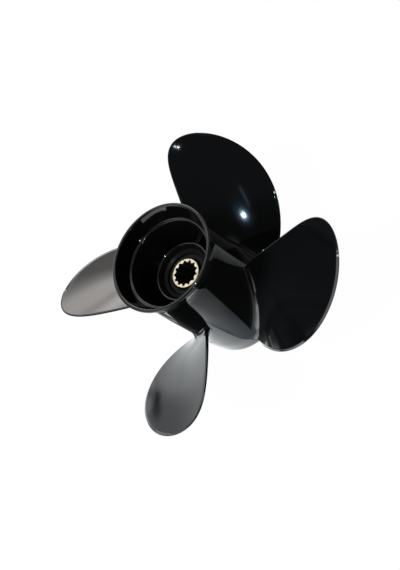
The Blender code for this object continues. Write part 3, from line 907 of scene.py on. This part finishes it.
# Lamps that each make one glint or streak: the lit place, azimuth and elevation of the lamp from there in degrees,
# its distance, width, height, power in watts and colour
GLINTS = (
    ((-0.0020, 0.0880, 0.0590), -38.7, 60.8, 3.0000, 0.0500, 0.4200, 0.07000, (0.50, 0.74, 1.0)),
    ((-0.0659, 0.1076, 0.1001), -16.4, 72.8, 0.0400, 0.0010, 0.0018, 0.00018, COLD),
    ((-0.0632, 0.1077, 0.0984), -16.4, 72.8, 0.0400, 0.0010, 0.0020, 0.00030, COLD),
    ((-0.0358, 0.0096, 0.1197), -18.0, 22.4, 0.0016, 0.0006, 0.0006, 0.00004, NEUTRAL),
    ((-0.0244, 0.0072, 0.1000), -20.0, 75.0, 0.0050, 0.0006, 0.0006, 0.00050, NEUTRAL),
    ((0.0446, -0.0117, 0.1339), -21.7, 69.6, 0.0050, 0.0006, 0.0006, 0.00240, NEUTRAL),
    ((0.1266, 0.0470, 0.0939), -127.5, 55.0, 0.0200, 0.0016, 0.0016, 0.00010, NEUTRAL),
    ((0.0215, 0.1002, 0.0513), 0.0, 40.6, 0.0200, 0.0016, 0.0020, 0.00013, NEUTRAL),
    ((-0.0335, 0.0305, 0.1286), -33.2, -5.0, 0.0120, 0.0185, 0.0027, 0.00020, NEUTRAL),
)

# Painted light and shade of the floor as the part reflects it: brightness in the painted light and at both ends of
# the painted half shade, and what is lost to painted shade behind the part, on the left, in the dusk there, at the
# far right and in the dark line
FLOOR_LIT = 1.1
HALF_SHADE = (0.41, 0.76)
BEHIND_LOSS = 0.86
LEFT_LOSS = 0.3
DUSK_LOSS = 0.9
RIGHT_LOSS = 0.22
LINE_LOSS = 0.30
FLOOR_DROP = 0.0002


def direction(azimuth, elevation):
    """A unit vector from its angle round +Z, counted from +X, and its height over the horizon, in degrees."""
    azimuth, elevation = math.radians(azimuth), math.radians(elevation)
    level = math.cos(elevation)
    return Vector((level * math.cos(azimuth), level * math.sin(azimuth), math.sin(elevation)))


def vector_step(operation, first, *others):
    """One Vector Math node on a vector socket and others, each a socket or three numbers."""
    inputs = dict(enumerate((first, *others)))
    return add_node(first.id_data, "ShaderNodeVectorMath", inputs, operation=operation)


def tinted(brightness, tint):
    """A colour of a brightness given by a Number."""
    inputs = {0: tint, "Scale": brightness}
    return add_node(brightness.tree, "ShaderNodeVectorMath", inputs, operation="SCALE").outputs["Vector"]


def spot(place, azimuth, elevation, middle, end, brightness=1.0):
    """Brightness of a round spot in the surroundings, even in its middle, given like a soft box."""
    facing = Number(vector_step("DOT_PRODUCT", place, direction(azimuth, elevation)).outputs["Value"])
    return facing.ramp(math.cos(math.radians(end)), math.cos(math.radians(middle)), high=brightness)


def low_wall(x, y, z):
    """Brightness of the wall low down round the part, and of what lies below it."""
    bands = add_node(x.tree, "ShaderNodeValToRGB", {"Fac": y.angle_over(x) / math.tau + 0.5})
    stops = bands.color_ramp.elements
    while len(stops) < len(LOW_WALL):
        stops.new(1.0)
    brightest = max(level for degrees, level in LOW_WALL)
    for stop, (degrees, level) in zip(stops, LOW_WALL):
        stop.position = degrees / 360.0 + 0.5
        stop.color = (*(3 * [level / brightest]), 1.0)
    level = Number(bands.outputs["Color"]) * brightest
    high_side = x.ramp(*HIGH_SIDE)
    wall = (z - WALL_LIFT * high_side).ramp(WALL_END, WALL_TOP)
    far = z.ramp(GROUND_NEAR, GROUND_FAR) * z.ramp(WALL_FOOT, 0.0) * high_side
    return level * wall * (1.0 - GROUND_LOSS * far)


def surroundings(stage):
    """The world: a pale low wall, a dark studio and soft boxes, with a plain background in view."""
    world = bpy.data.worlds.new("Studio")
    world.use_nodes = True
    tree = world.node_tree
    tree.nodes.clear()
    place = add_node(tree, "ShaderNodeTexCoord").outputs["Generated"]
    total = tinted(low_wall(*axes(place)) + stage.surround, WALL_COLOUR)
    for *box, tint in SOFT_BOXES:
        total = vector_step("ADD", total, tinted(spot(place, *box), tint)).outputs["Vector"]
    total = vector_step("MAXIMUM", total, DARKEST).outputs["Vector"]
    even = stage.second_light * (1.0 - DARK_SIDE_LOSS * spot(place, *DARK_SIDE))
    lights = ({"Color": total}, {"Strength": even}, {"Color": stage.floor})
    studio, even, plain = (add_node(tree, "ShaderNodeBackground", light).outputs[0] for light in lights)
    shown = blend_shaders(reflected_twice(tree), studio, even)
    add_node(tree, "ShaderNodeOutputWorld", {"Surface": seen_or(tree, shown, plain)})
    return world


def blend_shaders(factor, first, second):
    """A shader between two others; the factor is a Number."""
    return add_node(factor.tree, "ShaderNodeMixShader", {0: factor, 1: first, 2: second}).outputs["Shader"]


def seen_or(tree, reflected, seen):
    """One shader for what the camera sees, and another for what the part reflects."""
    rays = add_node(tree, "ShaderNodeLightPath")
    return blend_shaders(Number(rays.outputs["Is Camera Ray"]), reflected, seen)


def reflected_twice(tree):
    """1 for light that reaches the camera by way of two or more glossy surfaces, and else 0."""
    rays = add_node(tree, "ShaderNodeLightPath")
    return Number(rays.outputs["Glossy Depth"]).step("GREATER_THAN", 1.5)


def add_lamp(kind, name, azimuth, elevation, distance, power, tint=NEUTRAL, middle=(0.0, 0.0, 0.0), **settings):
    """A lamp that the camera doesn't see, aimed at a place from a direction in degrees and a distance."""
    lamp = bpy.data.lights.new(name, kind)
    lamp.energy = power
    lamp.color = tint
    for key, value in settings.items():
        setattr(lamp, key, value)
    thing = add_object(name, lamp)
    aim(thing, middle, azimuth, elevation, distance)
    thing.visible_camera = False
    return thing


def aim(thing, place, azimuth, elevation, distance, roll=0.0):
    """Set a lamp or camera at a distance from a place, turned towards it and rolled about its line of sight."""
    back = direction(azimuth, elevation)
    facing = back.to_track_quat("Z", "Y").to_matrix().to_4x4() @ Matrix.Rotation(roll, 4, "Z")
    thing.matrix_world = Matrix.Translation(Vector(place) + distance * back) @ facing


def add_camera(stage):
    """The camera at the photograph's viewing angle, rolled about its line of sight."""
    camera = add_object("Camera", bpy.data.cameras.new("Camera"))
    camera.data.lens = stage.lens
    camera.data.clip_end = 50.0
    azimuth = math.degrees(stage.azimuth) - 90.0
    aim(camera, stage.aim, azimuth, math.degrees(stage.elevation), stage.distance, stage.roll)
    bpy.context.scene.camera = camera


def floor_in_reflections(x, y):
    """Painted light and shade of the floor as the part reflects it: where it is lit, and its half shade on the right.
    """
    # Each ramp holds the two places, in metres, between which a part of the floor comes in
    across = x - 0.12 * y
    shade = across.ramp(0.0396, 0.0408)
    line = across.ramp(0.050, 0.0415) * y.ramp(-0.050, -0.065)
    right = y.ramp(-0.030, -0.090, *HALF_SHADE) - RIGHT_LOSS * x.ramp(0.050, 0.092) - LINE_LOSS * line
    in_front = 1.0 - BEHIND_LOSS * (y.ramp(-0.01, 0.04) * x.ramp(-0.06, 0.0))
    left = x.ramp(-0.02, -0.08) * LEFT_LOSS
    stripe = x.ramp(-0.054, -0.058) * y.ramp(-0.084, -0.082) * y.ramp(-0.072, -0.074)
    dusk = x.ramp(-0.010, -0.016) * (y - 0.1 * x).ramp(-0.046, -0.050) * (1.0 - stripe)
    lit = (FLOOR_LIT * in_front - left) * (1.0 - DUSK_LOSS * dusk) * (1.0 - shade)
    return lit, right * in_front * shade


def add_floor(stage):
    """A plain pale floor with hardly a shadow in view; in the part's reflections it glows with painted light and half
    shade.
    """
    half = 0.5 * stage.floor_size
    mesh = bpy.data.meshes.new("floor")
    corners = [(half * x, half * y, -FLOOR_DROP) for x, y in ((-1, -1), (1, -1), (1, 1), (-1, 1))]
    mesh.from_pydata(corners, [], [(0, 1, 2, 3)])
    material, tree = new_material("pale_floor")
    mesh.materials.append(material)
    tree.nodes.remove(tree.nodes["Principled BSDF"])
    place = add_node(tree, "ShaderNodeTexCoord").outputs["Object"]
    away = Number(vector_step("LENGTH", place).outputs["Value"])
    x, y, _ = axes(place)
    paint = add_node(tree, "ShaderNodeBsdfDiffuse", {"Color": [0.8 * part for part in stage.floor]}).outputs[0]
    under_hub = away.ramp(BARREL_HIGH.x - 0.001, BARREL_HIGH.x - 0.003)
    glow = add_node(tree, "ShaderNodeEmission", {"Color": stage.floor}).outputs[0]
    seen = blend_shaders(under_hub.at_least(stage.floor_shade), glow, paint)
    dimming = 1.0 - stage.second_dimming * reflected_twice(tree)
    # Painted light and shade: in the part's reflections the floor glows with this pattern, dimmer in second
    # reflections
    lit, shaded = (level * dimming for level in floor_in_reflections(x, y))
    light = vector_step("ADD", tinted(lit, WALL_COLOUR), tinted(shaded, SHADE_COLOUR)).outputs["Vector"]
    reflected = add_node(tree, "ShaderNodeEmission", {"Color": light}).outputs[0]
    reflected = blend_shaders(under_hub, reflected, paint)
    gone = away.ramp(0.75 * stage.floor_reach, stage.floor_reach)
    reflected = blend_shaders(gone, reflected, add_node(tree, "ShaderNodeBsdfTransparent").outputs[0])
    join(seen_or(tree, reflected, seen), tree.nodes["Material Output"].inputs["Surface"])
    add_object("floor", mesh)


class PROPELLER_OT_set_stage(bpy.types.Operator):
    """Set the camera, the floor and the studio light"""

    bl_idname = "propeller.set_stage"
    bl_label = "Set stage"

    def execute(self, context):
        stage = context.scene.propeller_stage
        context.scene.world = surroundings(stage)
        context.scene.view_settings.view_transform = "Standard"
        add_camera(stage)
        add_floor(stage)
        add_lamp("SUN", "Key lamp", -28.1, 53.1, 2.0, stage.key, (0.60, 0.82, 1.0), angle=math.radians(1.8))
        for place, azimuth, elevation, distance, width, height, power, tint in GLINTS:
            size = {"shape": "RECTANGLE", "size": width, "size_y": height}
            add_lamp("AREA", "Glint lamp", azimuth, elevation, distance, power, tint, place, **size)
        fill = add_lamp("SUN", "Fill lamp", -112.0, 60.0, 2.0, stage.fill, angle=math.radians(14.0))
        fill.visible_glossy = False
        return {"FINISHED"}


OPERATORS = (
    PROPELLER_OT_set_stage,
    PROPELLER_OT_add_barrel,
    PROPELLER_OT_add_ring,
    PROPELLER_OT_add_tube,
    PROPELLER_OT_add_ribs,
    PROPELLER_OT_add_bushing,
    PROPELLER_OT_add_sleeve,
    PROPELLER_OT_add_blades,
)

SETTINGS = (
    ("propeller_hub", HubSizes),
    ("propeller_blade", BladeSizes),
    ("propeller_sleeve", SleeveSizes),
    ("propeller_finish", FinishSettings),
    ("propeller_stage", StageSettings),
)


class PROPELLER_PT_panel(bpy.types.Panel):
    """The propeller's steps and sizes"""

    bl_idname = "PROPELLER_PT_panel"
    bl_label = "Boat propeller"
    bl_space_type = "VIEW_3D"
    bl_region_type = "UI"
    bl_category = "Propeller"

    def draw(self, context):
        for operator in OPERATORS:
            self.layout.operator(operator.bl_idname)
        for key, group in SETTINGS:
            box = self.layout.box()
            box.label(text=group.__doc__)
            for name in group.__annotations__:
                box.prop(getattr(context.scene, key), name)


def register():
    """Name the properties, and make the settings, the steps and the panel known to Blender."""
    for key, group in SETTINGS:
        for name, later in group.__annotations__.items():
            later.keywords["name"] = name.replace("_", " ").capitalize()
        bpy.utils.register_class(group)
        setattr(bpy.types.Scene, key, PointerProperty(type=group))
    for step in (*OPERATORS, PROPELLER_PT_panel):
        bpy.utils.register_class(step)


def unregister():
    """Take them away again."""
    for step in (PROPELLER_PT_panel, *OPERATORS):
        bpy.utils.unregister_class(step)
    for key, group in SETTINGS:
        delattr(bpy.types.Scene, key)
        bpy.utils.unregister_class(group)


def main():
    """Register, and make every piece in order."""
    register()
    bpy.ops.propeller.set_stage()
    bpy.ops.propeller.add_barrel()
    bpy.ops.propeller.add_ring()
    bpy.ops.propeller.add_tube()
    bpy.ops.propeller.add_ribs()
    bpy.ops.propeller.add_bushing()
    bpy.ops.propeller.add_sleeve()
    bpy.ops.propeller.add_blades()


if __name__ == "__main__":
    main()
